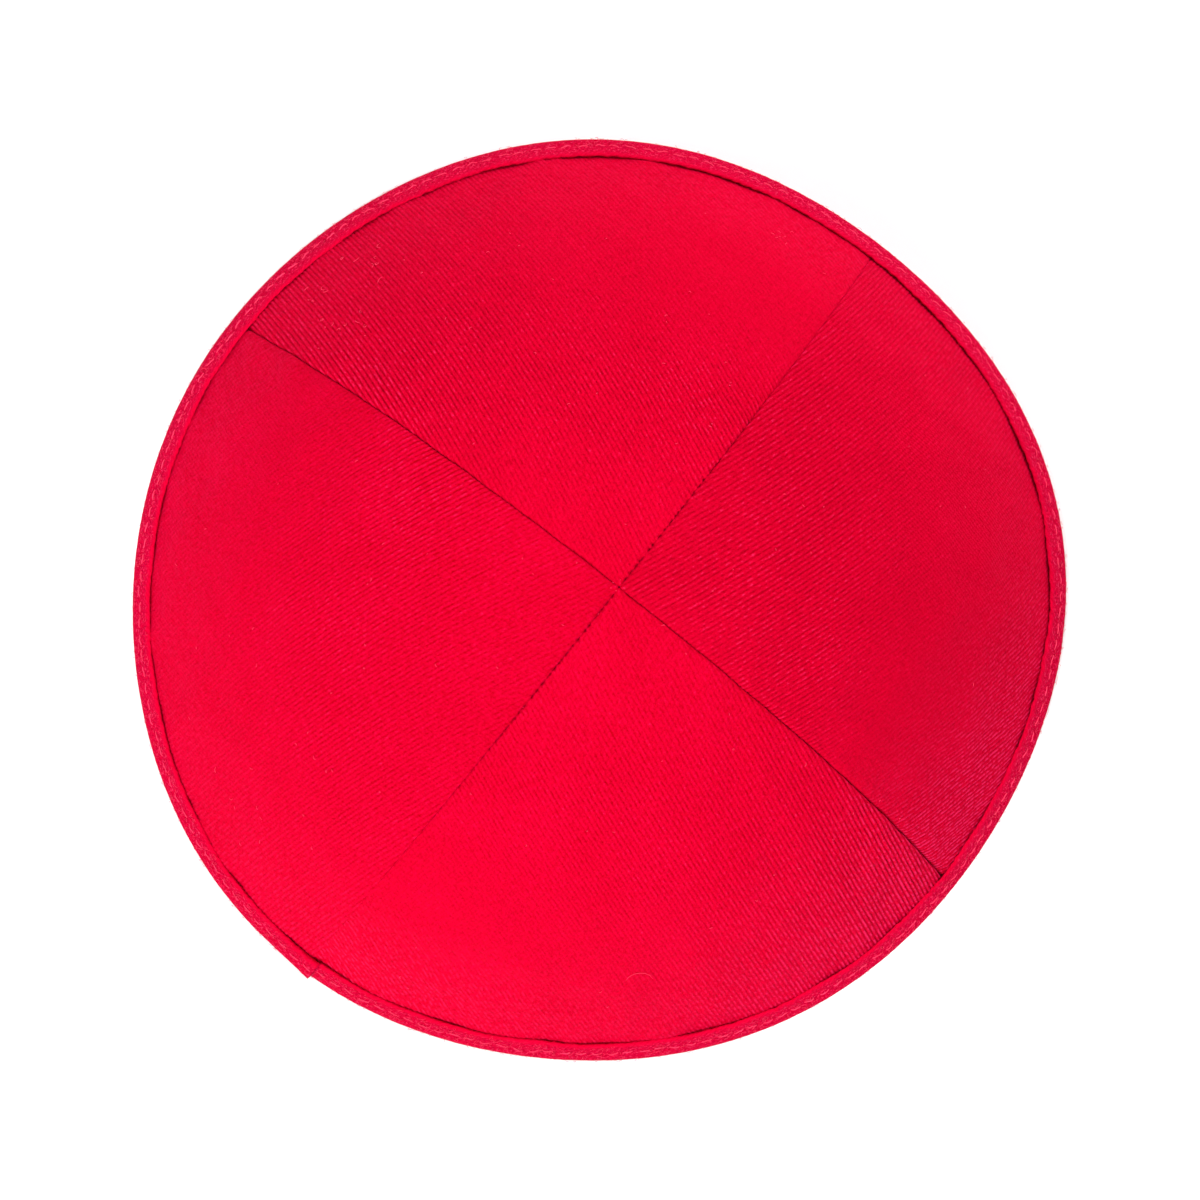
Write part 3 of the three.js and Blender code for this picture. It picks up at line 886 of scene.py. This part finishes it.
# The studio.
def add_camera():
    """The camera at the photograph's angle, a little off straight overhead and turned a little."""
    towards = (math.cos(CAMERA_LEANS_TO), math.sin(CAMERA_LEANS_TO))
    back = Vector((*(math.sin(CAMERA_LEAN) * side for side in towards), math.cos(CAMERA_LEAN)))
    upright = Vector((math.sin(PICTURE_TURN), math.cos(PICTURE_TURN), 0))
    right = upright.cross(back).normalized()
    up = back.cross(right)
    aim = Vector((0, 0, CAMERA_AIM_HEIGHT)) + right * CAMERA_AIM[0] + up * CAMERA_AIM[1]
    camera = bpy.data.objects.new("camera", bpy.data.cameras.new("camera"))
    camera.data.lens = CAMERA_LENS
    place = Matrix((right, up, back)).transposed().to_4x4()
    place.translation = aim + back * CAMERA_DISTANCE
    camera.matrix_world = place
    bpy.context.scene.collection.objects.link(camera)
    bpy.context.scene.camera = camera


def add_floor():
    """The floor that the cap lies on."""
    half = FLOOR_HALF
    corners = np.array([[-half, -half, 0], [half, -half, 0], [half, half, 0], [-half, half, 0]])
    floor = make_piece("floor", corners, np.array([[0, 1, 2, 3]]))
    floor.data.materials.append(floor_material())


def add_softbox(name, azimuth_deg, elevation_deg, size, watts):
    """A square area light that faces the cap."""
    azimuth, elevation = math.radians(azimuth_deg), math.radians(elevation_deg)
    flat = math.cos(elevation)
    towards = Vector((flat * math.cos(azimuth), flat * math.sin(azimuth), math.sin(elevation)))
    lamp = bpy.data.lights.new(name, "AREA")
    lamp.size = size
    lamp.energy = watts
    light = bpy.data.objects.new(name, lamp)
    light.rotation_euler = towards.to_track_quat("Z", "Y").to_euler()
    light.location = towards * SOFTBOX_DISTANCE
    bpy.context.scene.collection.objects.link(light)


def add_room():
    """A dim room round the soft boxes, in which the camera sees white paper behind the floor."""
    world = bpy.data.worlds.new("studio")
    world.use_nodes = True
    tree = world.node_tree
    place = tree.nodes.new("ShaderNodeTexCoord")
    apart = tree.nodes.new("ShaderNodeSeparateXYZ")
    fall = tree.nodes.new("ShaderNodeValToRGB")
    for element, (height, brightness) in zip(fall.color_ramp.elements, WALL_TO_CEILING):
        element.position = height
        element.color = (brightness, brightness, brightness, 1)
    seen = tree.nodes.new("ShaderNodeMix")
    seen.data_type = "RGBA"
    seen.inputs["B"].default_value = BACKDROP
    rays = tree.nodes.new("ShaderNodeLightPath")
    tree.links.new(place.outputs["Generated"], apart.inputs["Vector"])
    tree.links.new(apart.outputs["Z"], fall.inputs["Fac"])
    tree.links.new(fall.outputs["Color"], seen.inputs["A"])
    tree.links.new(rays.outputs["Is Camera Ray"], seen.inputs["Factor"])
    tree.links.new(seen.outputs["Result"], tree.nodes["Background"].inputs["Color"])
    bpy.context.scene.world = world


def add_lights():
    """The soft boxes, seen without any change of contrast."""
    for softbox in SOFTBOXES:
        add_softbox(**softbox)
    bpy.context.scene.view_settings.view_transform = "Standard"


def finish_piece(piece, material):
    """Gives a piece its material and its body."""
    piece.data.materials.append(material)
    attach(piece, "root")


def dress():
    """All that is seen of the cap."""
    for number, panel in enumerate(PANELS):
        finish_piece(crown_panel(panel, 100 + 10 * number), twill_material(panel))
    tape = tape_material()
    finish_piece(rim_binding(), tape)
    thread = thread_material("red_thread", (0.8, 0.01, 0.06), (1.0, 0.05, 0.14))
    finish_piece(topstitching(), thread)
    finish_piece(seam_thread(), thread)
    fluff = thread_material("pale_fluff", (0.9, 0.02, 0.08), (1.0, 0.06, 0.15))
    finish_piece(binding_fuzz(), fluff)
    finish_piece(crown_lint(), fluff)


add_camera()
add_floor()
add_room()
add_lights()
dress()
